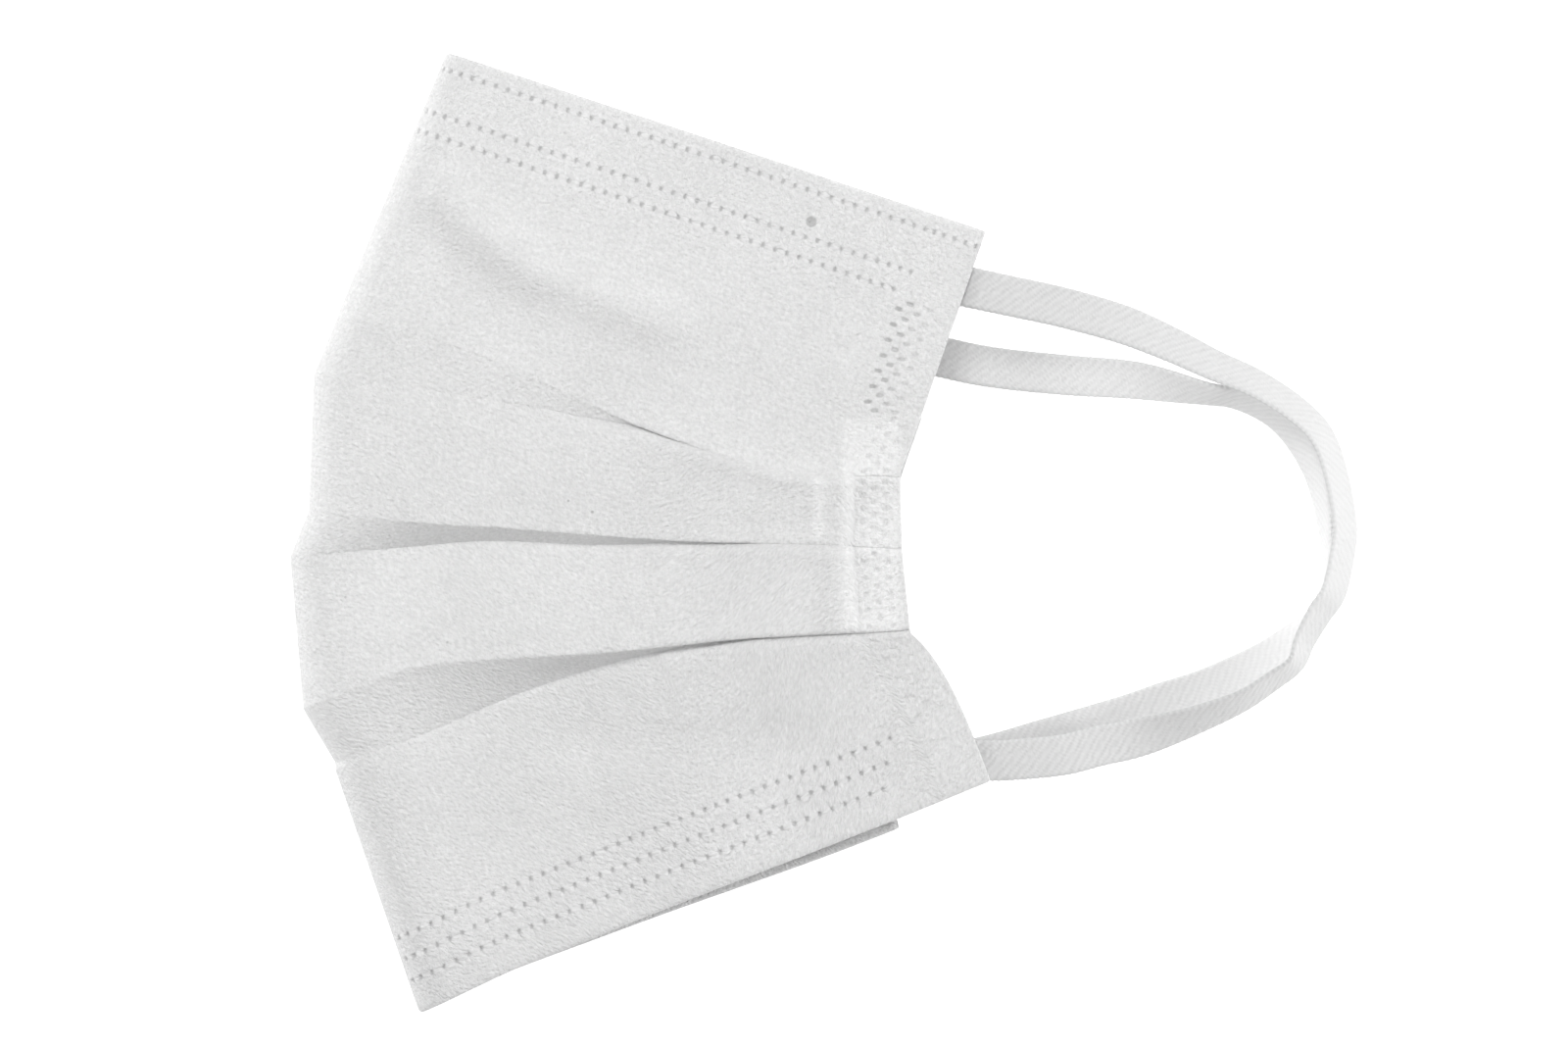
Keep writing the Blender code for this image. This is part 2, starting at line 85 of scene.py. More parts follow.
# Each line runs from the centre fold to the side edge; the shares are those of the sizes above
Line = namedtuple("Line", "centre_along centre_out side_along side_in centre_open side_open sag")
LINES = {
    "top":     Line(0.000, 0.000, 0.000, 0.000, 0.60, 0.80, (0.00, 0.00, 0.00, 0.00, 0.00)),
    "outer_1": Line(0.276, 0.714, 0.448, 0.990, 0.88, 1.00, (-0.24, 0.11, 0.69, 1.00, 0.89)),
    "inner_1": Line(0.337, 0.867, 0.338, 0.744, 0.90, 1.00, (0.18, 0.51, 0.87, 1.00, 0.60)),
    "outer_2": Line(0.476, 0.875, 0.577, 0.977, 0.93, 1.00, (0.16, 0.16, 0.20, 0.20, 0.11)),
    "inner_2": Line(0.525, 1.000, 0.460, 0.990, 0.93, 1.00, (0.11, 0.24, 0.78, 0.98, 0.47)),
    "outer_3": Line(0.681, 0.876, 0.725, 0.897, 0.93, 1.00, (-0.87, -0.84, -0.60, -0.47, -0.22)),
    "inner_3": Line(0.740, 0.646, 0.607, 0.968, 0.91, 1.00, (-0.02, -0.24, -0.18, 0.07, -0.07)),
    "bottom":  Line(1.000, 0.000, 1.000, 0.000, 0.67, 0.80, (-0.20, -0.18, -0.15, -0.07, 0.00)),
}

# One pleat's cloth, from its outer fold to its inner one, when closed, upright and open
Bend = namedtuple("Bend", "closed_step closed_depth upright_step upright_depth open_step open_depth")
OUTER_FOLD = (
    Bend(-0.96, 0.0, -0.60, 0.00, -0.30, 0.01),
    Bend(-0.48, 0.5, -0.08, 0.12, 0.00, 0.00),
    Bend(-0.96, 1.0, 0.00, 0.70, 0.30, 0.06),
)
INNER_FOLD = (
    Bend(0.96, 1.0, 0.00, 1.70, -0.30, 0.94),
    Bend(0.48, 1.5, 0.08, 2.28, 0.00, 1.00),
    Bend(0.96, 2.0, 0.60, 2.40, 0.30, 0.99),
)
PLEATS = (1, 2, 3)
LAYER_PITCHES = (0.00037, 0.00048, 0.00075)
PLEAT_DEPTHS = (0.0009, 0.0038, 0.0042)
KNEE_CLOSED = 0.10
KNEE_UPRIGHT = 1.2
KNEE_OPEN = 1.2
KNEE_RISE = 0.96
KNEE_WAY = 0.0003
# How far the panel below a pleat is raised at its start, in layers: for the near half (1) and the far one (-1)
KNEE_LIFTS = {1: (5.2, 4.0, 2.4), -1: (2.2, 1.8, 1.1)}
KNEE_FLUSH = 2.4
KNEE_UPRIGHT_LIFTS = {1: (3.2, 0.9, 0.4), -1: (0.9, 0.2, 0.0)}
CLOSED_OVERLAP = 0.0033
OPEN_OVERLAP = 0.0030
SIDE_SWELL = 0.0016
SWELL_PEAK = 0.7
SWELL_FADE = 6

# Rows of the cloth. A hem's rows are distances from its edge. Its weld rows start at some of them, and
# each has the last column that it reaches, counted from the first of the side columns
TOP_EDGE_ROWS = (0.0007, 0.0015, 0.0022, 0.0038, 0.0056, 0.0074, 0.0092, 0.0108, 0.0125, 0.0141)
TOP_WELDS = {0.0022: 7, 0.0092: 1, 0.0125: 0}
BOTTOM_EDGE_ROWS = (0.0007, 0.0018, 0.0032, 0.0046, 0.0062, 0.0081, 0.0097, 0.0115, 0.0131)
BOTTOM_WELDS = {0.0046: -2, 0.0081: -1, 0.0115: 0}
TOP_ROWS = 23
STRIP_ROWS = 10
BOTTOM_ROWS = 9
RETURN_ROWS = 3
PLEAT_ROWS = 6

# Columns: round the centre fold in degrees, then by their distance from the side edge
FOLD_ANGLES = (0.0, 22.5, 45.0, 67.5, 90.0)
SIDE_RUN = 0.098
SIDE_COLUMNS = (0.0138, 0.0117, 0.0096, 0.0089, 0.0082, 0.0061, 0.0040, 0.0019, 0.0)
NEAR_COLUMNS = 37
FAR_COLUMNS = 14

# The side weld's flattened strip, with the groove and the bulge beside it
STRIP_WIDTH = 0.0083
STRIP_STEP = 0.0014
STRIP_SQUEEZE = 0.25
STRIP_DROP = 0.0004
GROOVE_PLACE = 0.0089
GROOVE_WIDTH = 0.0005
GROOVE_DEPTH = 0.0006
BULGE_PLACE = 0.0125
BULGE_WIDTH = 0.0024
BULGE_HEIGHT = 0.0009

# Ridges and dents in the cloth of the near half: paths, widths in millimetres and heights in metres
Ridge = namedtuple("Ridge", "height width path")
RIDGES = (
    Ridge(0.0018, 3.6, ((-63.9, 57.2), (-51.8, 45.7), (-44.1, 40.3), (-25.4, 32.6))),
    Ridge(-0.0008, 5.0, ((-64.0, 47.0), (-55.0, 38.0), (-46.0, 32.0))),
    Ridge(-0.0004, 1.3, ((-3.5, 22.7), (2.0, 18.2))),
    Ridge(0.0004, 1.4, ((-66.2, -15.8), (-58.5, -13.5))),
    Ridge(-0.0006, 4.0, ((-38.7, -32.2), (-3.5, -32.2))),
    Ridge(-0.0005, 5.0, ((-47.0, -46.0), (-40.0, -43.0))),
    Ridge(0.0004, 6.0, ((-60.0, 5.0), (-30.0, 12.0))),
)
LIP_HEIGHTS = (0.00060, 0.00035, 0.00030)
LIP_WIDTH = 0.0018
WAVE_HEIGHT = 0.0007
WAVE_SCALE = 0.055
WAVE_SEED = 3.7
WAVE_SIDE = 0.016
WAVE_START = 0.10

# Boxes of cloth painted lighter, in millimetres, as painted light: over the side weld's flattened strip and a
# painted highlight on the bulge beside it: (x, y, half width, half height, gain)
PAINTED_LIGHT_BOXES = ((7.2, 1.2, 4.5, 16.0, 0.11), (-0.9, 3.8, 1.0, 4.8, 0.14))
PAINTED_LIGHT_EDGE = 0.8

# Small marks on the cloth in millimetres: a round weld and specks, as (x, y, radius, how much darker)
MARKS = (
    (-2.0, 47.8, 0.95, 0.34), (-39.3, 4.9, 0.22, 0.30), (-35.6, 3.2, 0.26, 0.32), (-73.6, -9.9, 0.22, 0.25),
    (-57.9, -16.8, 0.22, 0.25), (-81.3, -17.3, 0.20, 0.25),
)

# An ear loop's sections: its plan as shares of its reach and of the way between its roots, its tilt in
# degrees, how much its root's height and tilt count there, and how many bands' thickness it is raised
Section = namedtuple("Section", "out down tilt root layers")
NEAR_LOOP = (
    Section(-0.146, -0.028, 0, 1.00, 0.0),
    Section(0.000, 0.000, 0, 1.00, 0.0),
    Section(0.120, 0.023, 2, 0.93, 0.0),
    Section(0.257, 0.049, 5, 0.75, 0.0),
    Section(0.414, 0.087, 14, 0.48, 0.0),
    Section(0.538, 0.130, 27, 0.26, 0.1),
    Section(0.653, 0.177, 38, 0.12, 0.8),
    Section(0.767, 0.220, 45, 0.05, 1.6),
    Section(0.870, 0.276, 48, 0.00, 1.8),
    Section(0.936, 0.333, 50, 0.00, 1.7),
    Section(0.970, 0.412, 51, 0.00, 1.8),
    Section(0.990, 0.516, 51, 0.00, 2.3),
    Section(0.983, 0.575, 50, 0.00, 3.0),
    Section(0.954, 0.663, 49, 0.00, 4.0),
    Section(0.913, 0.710, 50, 0.00, 4.2),
    Section(0.873, 0.765, 56, 0.00, 3.8),
    Section(0.847, 0.814, 62, 0.00, 3.0),
    Section(0.787, 0.849, 60, 0.00, 2.3),
    Section(0.701, 0.891, 56, 0.00, 1.8),
    Section(0.569, 0.931, 42, 0.00, 1.5),
    Section(0.425, 0.963, 15, 0.05, 1.2),
    Section(0.324, 0.977, 5, 0.27, 0.8),
    Section(0.219, 0.994, 2, 0.58, 0.3),
    Section(0.076, 1.000, 1, 0.88, 0.0),
    Section(0.000, 1.000, 0, 1.00, 0.0),
    Section(-0.136, 1.013, 0, 1.00, 0.0),
)
FAR_LOOP = (
    Section(-0.144, -0.010, 0, 1.00, 0.0),
    Section(0.000, 0.000, 0, 1.00, 0.0),
    Section(0.160, 0.012, -3, 0.80, 0.0),
    Section(0.363, 0.010, -10, 0.50, 0.0),
    Section(0.552, 0.003, -24, 0.25, 0.0),
    Section(0.736, 0.014, -58, 0.00, 0.0),
    Section(0.825, 0.017, -61, 0.00, 0.0),
    Section(0.921, 0.043, -57, 0.00, 0.0),
    Section(0.991, 0.087, -53, 0.00, 0.0),
    Section(1.050, 0.159, -59, 0.00, 0.0),
    Section(1.081, 0.231, -69, 0.00, 0.0),
    Section(1.099, 0.294, -76, 0.00, 0.0),
    Section(1.111, 0.343, -82, 0.00, 0.0),
    Section(1.118, 0.395, -84, 0.00, 0.0),
    Section(1.118, 0.451, -77, 0.00, 0.0),
    Section(1.103, 0.504, -66, 0.00, 0.0),
    Section(1.055, 0.555, -48, 0.00, 0.0),
    Section(0.973, 0.625, -25, 0.00, 0.0),
    Section(0.843, 0.699, -6, 0.00, 0.0),
    Section(0.726, 0.747, 0, 0.00, 0.0),
    Section(0.617, 0.793, 0, 0.00, 0.0),
    Section(0.425, 0.865, 0, 0.20, 0.0),
    Section(0.257, 0.926, 0, 0.60, 0.0),
    Section(0.000, 1.000, 0, 1.00, 0.0),
    Section(-0.119, 1.033, 0, 1.00, 0.0),
)

# The knitted band's ribs, its calmer middle and the painted shade that darkens its roots
RINGS_PER_SECTION = 30
OUTLINE_STEPS = 22
OUTLINE_EASE = math.pi / 2.0 * 0.93
STRAP_RUN = 0.172
RIB_PITCH = 0.00145
RIB_DEPTH = 0.00022
RIB_WANDER = 0.0005
STRAY_SCALE = 900.0
BEND_CALM = 0.6
ROOT_PAINTED_SHADE = 0.35
ROOT_REACH = 0.035
SELVAGE_START = 0.80
SELVAGE_PITCH = 0.0010

# Weld dots: their half sizes, depth and darkness. Side welds are (column, cells across)
Dot = namedtuple("Dot", "column row span wide tall depth mark")
HEM_DOT = (0.00048, 0.00058, 0.00024, 1.2)
STRIP_DOT = (0.00076, 0.00060, 0.00018, 0.9)
SIDE_DOT_WIDE = 0.00084
SIDE_DOT_TALL = 0.00050
SIDE_DOT_DEPTH = 0.00026
SIDE_DOT_MARK = 2.4
SIDE_DOT_FADE = 0.18
LOWER_DOT_FADE = 0.5
SIDE_ROWS = round(TOP_ROWS * 0.64)
SIDE_WELDS = ((1, 1), (2, 2), (4, 1), (5, 1), (6, 1))
STRIP_DOT_COLUMNS = (4, 5, 6)
FIRST_LOWER_WELD = 2
WIDE_CELL = 2

# Colours, lights as (name, place, size, power) and the camera
CLOTH_WHITE = 0.82
HEM_WHITE = 0.80
# One knitted fabric in two whites: the near band's lowered as painted shade, the far band's raised as painted
# light
KNIT_WHITES_LIT_AND_SHADED = {"near": 0.70, "far": 0.84}
FLOOR_WHITE = 0.95
FLOOR_GLOW = 0.6
WORLD_LIGHT = 0.47
LIGHTS = (
    ("overhead", (-0.10, 0.58, 0.85), (0.40, 0.40), 4.3),
    ("left", (-0.76, 0.12, 0.42), (0.25, 0.30), 2.5),
    ("right", (0.80, -0.06, 0.33), (0.22, 0.25), 3.7),
)
CAMERA_LENS = 180.0
CAMERA_PLACE = (-0.0062, 0.0015, 1.2175)

Ramp = namedtuple("Ramp", "first run depth")
Spot = namedtuple("Spot", "angle way")


def smooth(share):
    share = min(max(share, 0.0), 1.0)
    return share * share * (3.0 - 2.0 * share)


def bell(distance, width):
    return math.exp(-(distance / width) ** 2)


def ramp_depth(ramp, distance):
    return ramp.depth * min(max((distance - ramp.first) / ramp.run, 0.0), 1.0)


def off_path(place, path):
    """The distance of a place from a path of straight pieces."""
    best = math.inf
    for start, end in zip(path, path[1:]):
        way = Vector(end) - Vector(start)
        share = min(max((place - Vector(start)).dot(way) / way.length_squared, 0.0), 1.0)
        best = min(best, (place - Vector(start) - way * share).length)
    return best


def through(values, place):
    """Reads a smooth curve through evenly spaced values, with place from 0 to len(values) - 1."""
    last = len(values) - 1
    index = min(int(place), last - 1)
    share = place - index
    before = values[max(index - 1, 0)]
    start = values[index]
    end = values[index + 1]
    after = values[min(index + 2, last)]
    return 0.5 * (
        2.0 * start
        + (end - before) * share
        + (2.0 * before - 5.0 * start + 4.0 * end - after) * share ** 2
        + (3.0 * start - before - 3.0 * end + after) * share ** 3
    )


class Half:
    """One half of the folded cloth. side is 1 for the near half, which is up, and -1 for the far one."""

    def __init__(self, side):
        self.side = side

    def centre_point(self, line):
        chin = Vector((CHIN_SHIFT, -CENTRE_HEIGHT))
        outward = Vector((-CENTRE_BULGE, 0.0))
        return chin * line.centre_along + outward * line.centre_out

    def side_point(self, line):
        corner = Vector((HALF_WIDTH * math.cos(TOP_SLOPE), -HALF_WIDTH * math.sin(TOP_SLOPE)))
        lean = SIDE_LEAN
        if self.side < 0:
            corner += Vector((FAR_SHIFT_X, FAR_SHIFT_Y))
            lean -= FAR_TURN
        down = Vector((math.sin(lean), -math.cos(lean)))
        inward = Vector((down.y, -down.x))
        return corner + down * (SIDE_HEIGHT * line.side_along) + inward * (SIDE_DIP * line.side_in)

    def on_line(self, name, share):
        line = LINES[name]
        start = self.centre_point(line)
        end = self.side_point(line)
        values = (0.0,) + line.sag + (0.0,)
        sag = LINE_SAG * through(values, share * (len(values) - 1))
        return start.lerp(end, share) - Vector((0.0, sag))

    def length(self, name):
        line = LINES[name]
        return (self.side_point(line) - self.centre_point(line)).length

    def fold_radius(self, name):
        return (LINES[name].centre_open * OPEN_HEIGHT - WALL) / 2.0

    def share(self, name, spot):
        radius = self.fold_radius(name)
        start = radius / self.length(name)
        if spot.way == 0.0:
            return start * (1.0 - math.cos(math.radians(spot.angle)))
        return start + (1.0 - start) * spot.way

    def down(self, spot):
        top = self.on_line("top", self.share("top", spot))
        bottom = self.on_line("bottom", self.share("bottom", spot))
        return (bottom - top).normalized()

    def plan(self, name, spot, step=0.0):
        return self.on_line(name, self.share(name, spot)) + self.down(spot) * step

    def spread(self, number, spot):
        """How far a pleat's inner fold is below its outer one: less than nothing where the pleat is closed."""
        outer = self.plan(f"outer_{number}", spot)
        return (self.plan(f"inner_{number}", spot) - outer).dot(self.down(spot))

    def closed(self, number, spot):
        """How far a pleat is closed, from 0 to 1."""
        return min(max(-self.spread(number, spot) / CLOSED_OVERLAP, 0.0), 1.0)

    def opened(self, number, spot):
        """How far a pleat is open, from 0 to 1."""
        return min(max(self.spread(number, spot) / OPEN_OVERLAP, 0.0), 1.0)

    def from_side(self, spot):
        """The column's distance from the side edge."""
        return (1.0 - spot.way) * SIDE_RUN

    def pressed(self, spot):
        """How much the column is in the side weld's flattened strip, from 0 to 1."""
        if self.side < 0 or spot.way == 0.0:
            return 0.0
        return 1.0 - smooth((self.from_side(spot) - STRIP_WIDTH) / STRIP_STEP)

    def pitch(self, number, spot):
        return LAYER_PITCHES[number - 1] * (1.0 - STRIP_SQUEEZE * self.pressed(spot))

    def relief(self, spot, point):
        """How far a point of the near half is raised by the cloth's dents, ridges and flattened strip."""
        if self.side < 0 or spot.way == 0.0:
            return 0.0
        place = (point + FRAME_SHIFT).to_2d() * 1000.0
        distance = self.from_side(spot)
        height = WAVE_HEIGHT * noise.noise(Vector((place.x * WAVE_SCALE, place.y * WAVE_SCALE, WAVE_SEED)))
        height *= smooth(distance / WAVE_SIDE) * smooth(spot.way / WAVE_START)
        for ridge in RIDGES:
            height += ridge.height * bell(off_path(place, ridge.path), ridge.width)
        upper = self.line_level("outer_1", spot)
        lower = self.line_level("outer_3", spot)
        level = place.y / 1000.0
        along = smooth((upper + 0.003 - level) / 0.006) * smooth((level - lower + 0.004) / 0.008)
        for number in PLEATS:
            lip = LIP_HEIGHTS[number - 1] * bell(level - self.line_level(f"outer_{number}", spot), LIP_WIDTH)
            height += self.closed(number, spot) * lip
        height -= along * STRIP_DROP * self.pressed(spot)
        height += along * BULGE_HEIGHT * bell(distance - BULGE_PLACE, BULGE_WIDTH)
        height -= along * GROOVE_DEPTH * bell(distance - GROOVE_PLACE, GROOVE_WIDTH)
        return height

    def line_level(self, name, spot):
        return self.on_line(name, self.share(name, spot)).y + FRAME_SHIFT.y

    def raised(self, spot, points):
        return [point + Vector((0.0, 0.0, self.relief(spot, point))) for point in points]

    def pleat_rows(self, number, spot, above):
        """One pleat's points as (line, step down from it, depth in), under the panel above it."""
        outer = f"outer_{number}"
        inner = f"inner_{number}"
        spread = self.spread(number, spot)
        closed = self.closed(number, spot)
        opened = self.opened(number, spot)
        upright = 1.0 - closed - opened
        pitch = self.pitch(number, spot)
        rows = []
        for name, bends in ((outer, OUTER_FOLD), (inner, INNER_FOLD)):
            for bend in bends:
                step = closed * bend.closed_step + upright * bend.upright_step + opened * bend.open_step
                step *= pitch
                depth = pitch * (closed * bend.closed_depth + upright * bend.upright_depth)
                depth += opened * bend.open_depth * PLEAT_DEPTHS[number - 1]
                if name == inner:
                    depth += closed * ramp_depth(above, -(spread + step))
                rows.append((name, step, depth))
        last = INNER_FOLD[2]
        if spread < 0.0:
            step = pitch * (closed * KNEE_CLOSED + upright * KNEE_UPRIGHT)
            depth = pitch * (closed * last.closed_depth + upright * last.upright_depth)
            rows.append((outer, step, depth))
        else:
            step = pitch * (upright * KNEE_UPRIGHT + opened * KNEE_OPEN)
            rows.append((inner, step, rows[-1][2] * KNEE_RISE))
        return rows

    def pleats(self, spot):
        top = self.middle("top", spot, 0.0, 0.0)
        outer = self.middle("outer_1", spot, 0.0, 0.0)
        above = Ramp(0.0, (outer - top).to_2d().length, max((outer.z - top.z) * self.side, 0.0))
        pleats = []
        for number in PLEATS:
            if pleats:
                name, step, depth = pleats[-1][-1]
                first = -self.pitch(number, spot) * OUTER_FOLD[0].closed_step
                way = self.plan(f"outer_{number}", spot) - self.plan(name, spot, step)
                above = Ramp(first, way.dot(self.down(spot)) - first, depth)
            pleats.append(self.pleat_rows(number, spot, above))
        return pleats

    def middle(self, name, spot, step, depth, inset=0.0):
        """A point of the cloth's middle, a step down from a line and a depth in from the outer level."""
        line = LINES[name]
        angle = math.radians(spot.angle)
        plan = self.plan(name, spot, step)
        along = (self.side_point(line) - self.centre_point(line)).normalized()
        grown = smooth(spot.way * self.length(name) / DEPTH_START)
        inward = inset + depth * (FOLD_DEPTH * math.sin(angle) + (1.0 - FOLD_DEPTH) * grown)
        plan += along * (WALL / 2.0 * (1.0 - spot.way))
        if spot.way == 0.0:
            plan += along * (inward * math.cos(angle))
            rise = self.side * (self.fold_radius(name) - inward) * math.sin(angle)
            height = line.centre_open * OPEN_HEIGHT / 2.0 + rise
        elif self.side < 0:
            height = WALL / 2.0 + inward
        else:
            rise = (line.side_open - line.centre_open) * smooth(spot.way / OPEN_EASE)
            height = OPEN_HEIGHT * (line.centre_open + rise) - WALL / 2.0 - inward
        return Vector((plan.x, plan.y, height))

    def panels(self, spot):
        """The ends of the five panels down one column, with the pleats between them."""
        top = self.middle("top", spot, 0.0, 0.0)
        bottom = self.middle("bottom", spot, 0.0, 0.0)
        folds = [
            [self.middle(name, spot, step, depth) for name, step, depth in pleat] for pleat in self.pleats(spot)
        ]
        return top, folds, bottom

    def cloth_column(self, spot):
        """The middle of the cloth down one column, with its edges rolled in."""
        top, folds, bottom = self.panels(spot)
        swell = SIDE_SWELL * spot.way ** SWELL_FADE
        points = self.rolled_edge("top", spot, folds[0][0])
        points += edge_rows(top, folds[0][0], TOP_EDGE_ROWS, TOP_ROWS)
        knees = []
        for index, fold in enumerate(folds):
            points += fold[:3]
            points += evenly(fold[2], fold[3], RETURN_ROWS)
            ahead = folds[index + 1][0] if index < 2 else bottom
            knee = fold[-1].lerp(ahead, KNEE_WAY / (ahead - fold[-1]).length)
            closed = self.closed(index + 1, spot)
            upright = 1.0 - closed - self.opened(index + 1, spot)
            lift = KNEE_LIFTS[self.side][index]
            lift += (KNEE_FLUSH - lift) * self.pressed(spot)
            lift = closed * lift + upright * KNEE_UPRIGHT_LIFTS[self.side][index]
            knee.z += self.side * lift * self.pitch(index + 1, spot)
            points += fold[3:] + [knee]
            knees.append(knee)
            if index < 2:
                points += evenly(knee, ahead, STRIP_ROWS)
        lower = edge_rows(bottom, knees[2], BOTTOM_EDGE_ROWS, BOTTOM_ROWS)
        across = (bottom - knees[2]).normalized()
        out = Vector((-across.y, across.x, 0.0)) * swell
        run = (bottom - knees[2]).length
        lower = [
            point + out * math.sin(math.pi * (1.0 - (point - bottom).length / run) ** SWELL_PEAK)
            for point in lower
        ]
        points += list(reversed(lower))
        points += list(reversed(self.rolled_edge("bottom", spot, folds[2][-1])))
        return self.raised(spot, points)

    def rolled_edge(self, name, spot, inner):
        """The cloth's edge where it turns in, from its inner end to its outer one."""
        edge = self.middle(name, spot, 0.0, 0.0)
        deep = self.middle(name, spot, 0.0, 0.0, HEM_PITCH)
        mid = self.middle(name, spot, 0.0, 0.0, HEM_PITCH / 2.0)
        inward = (inner - edge).normalized()
        return [deep + inward * HEM_START, deep + inward * HEM_TURN, mid + inward * HEM_TURN_MIDDLE]

    def hem_column(self, spot, width, at_top):
        top, folds, bottom = self.panels(spot)
        name, edge, inner = ("top", top, folds[0][0]) if at_top else ("bottom", bottom, folds[2][-1])
        start = self.middle(name, spot, 0.0, 0.0, HEM_PITCH)
        inward = (inner - edge).normalized()
        ways = (HEM_START + HEM_GAP, width / 3.0, width * 2.0 / 3.0, width)
        return self.raised(spot, [start + inward * way for way in ways])

    def loop_root(self, at_top, distance):
        """Where an ear loop leaves the side edge: its middle there and how far its inner edge is up."""
        top, folds, bottom = self.panels(Spot(90.0, 1.0))
        corner, inner = (top, folds[0][0]) if at_top else (bottom, folds[2][-1])
        place = corner.lerp(inner, distance / (inner - corner).length)
        level = (inner - corner).to_2d().length
        tilt = math.atan2(inner.z - corner.z, level)
        place.z -= self.side * ((SOLID_WALL + STRAP_THICK) / 2.0 + ROOT_CLEARANCE) / math.cos(tilt)
        return place, tilt


def evenly(first, last, count):
    """The points between two others that part the way into equal steps."""
    return [first.lerp(last, (index + 1) / count) for index in range(count - 1)]


def edge_rows(edge, inner, distances, count):
    """Points from an edge inwards: at fixed distances first, then in equal steps, without the last one."""
    inward = (inner - edge).normalized()
    rows = [edge + inward * distance for distance in distances]
    return rows + evenly(rows[-1], inner, count)


def spots_across():
    """The columns as (half, spot), from the far side edge round the centre fold to the near side edge."""
    near = Half(1)
    far = Half(-1)
    far_spots = [Spot(90.0, 1.0 - index / FAR_COLUMNS) for index in range(FAR_COLUMNS)]
    far_spots += [Spot(angle, 0.0) for angle in reversed(FOLD_ANGLES[1:])]
    near_spots = [Spot(angle, 0.0) for angle in FOLD_ANGLES]
    last = 1.0 - SIDE_COLUMNS[0] / SIDE_RUN
    near_spots += [Spot(90.0, last * (index + 1) / NEAR_COLUMNS) for index in range(NEAR_COLUMNS)]
    near_spots += [Spot(90.0, 1.0 - distance / SIDE_RUN) for distance in SIDE_COLUMNS[1:]]
    return [(far, spot) for spot in far_spots] + [(near, spot) for spot in near_spots]


def row_kinds():
    """What each row gap of the cloth carries: hem weld dots up to a column, a side weld's dots or nothing."""
    kinds = [("plain", 0)] * 3
    kinds += hem_kinds(TOP_EDGE_ROWS, TOP_WELDS)
    kinds += [("side", 0)] * SIDE_ROWS + [("strip", 0)] * (TOP_ROWS - SIDE_ROWS)
    for index in range(3):
        kinds += [("plain", 0)] * (PLEAT_ROWS + RETURN_ROWS)
        if index < 2:
            kinds += [("strip", 0)] * STRIP_ROWS
    kinds += [("lower", 0)] * BOTTOM_ROWS
    low = hem_kinds(BOTTOM_EDGE_ROWS, BOTTOM_WELDS)
    return kinds + list(reversed(low)) + [("plain", 0)] * 3


def hem_kinds(rows, welds):
    return [("weld", welds[row]) if row in welds else ("plain", 0) for row in rows[:-1]]


def make_sheet(name, columns, material, dots=()):
    """A cloth piece with a wall, from columns of middle points, with pressed dots in some of its cells."""
    across = len(columns)
    down = len(columns[0])
    shape = bmesh.new()
    bmesh.ops.create_grid(shape, x_segments=across - 1, y_segments=down - 1, size=1.0, calc_uvs=False)
    shape.verts.ensure_lookup_table()
    for index, vertex in enumerate(shape.verts):
        vertex.co = columns[index % across][index // across]
    bmesh.ops.recalc_face_normals(shape, faces=shape.faces)
    middle = columns[across * 2 // 3][down // 8 + 3]
    nearest = min(shape.faces, key=lambda face: (face.calc_center_median() - middle).length)
    if nearest.normal.z < 0.0:
        bmesh.ops.reverse_faces(shape, faces=shape.faces)
    lay_flat(shape, columns)
    press_dots(shape, across, dots)
    mesh = bpy.data.meshes.new(name)
    shape.to_mesh(mesh)
    shape.free()
    mesh.materials.append(material)
    mesh.shade_smooth()
    piece = bpy.data.objects.new(name, mesh)
    bpy.context.collection.objects.link(piece)
    solidify = piece.modifiers.new("Wall", "SOLIDIFY")
    solidify.thickness = WALL
    solidify.offset = 0.0
    solidify.use_rim = True
    rounding = piece.modifiers.new("Rounding", "SUBSURF")
    rounding.levels = 1
    rounding.render_levels = 1
    return piece


def lay_flat(shape, columns):
    """Gives each corner its place on the flat cloth, in millimetres."""
    across = len(columns)
    down = len(columns[0])
    wide = running_lengths([column[down // 4] for column in columns])
    long = [running_lengths(column) for column in columns]
    layer = shape.loops.layers.uv.new("cloth")
    for face in shape.faces:
        for loop in face.loops:
            column = loop.vert.index % across
            row = loop.vert.index // across
            loop[layer].uv = (wide[column] * 1000.0, long[column][row] * 1000.0)


def running_lengths(points):
    """Each point's distance from the first one, along the way through all of them."""
    lengths = [0.0]
    for before, point in zip(points, points[1:]):
        lengths.append(lengths[-1] + (point - before).length)
    return lengths


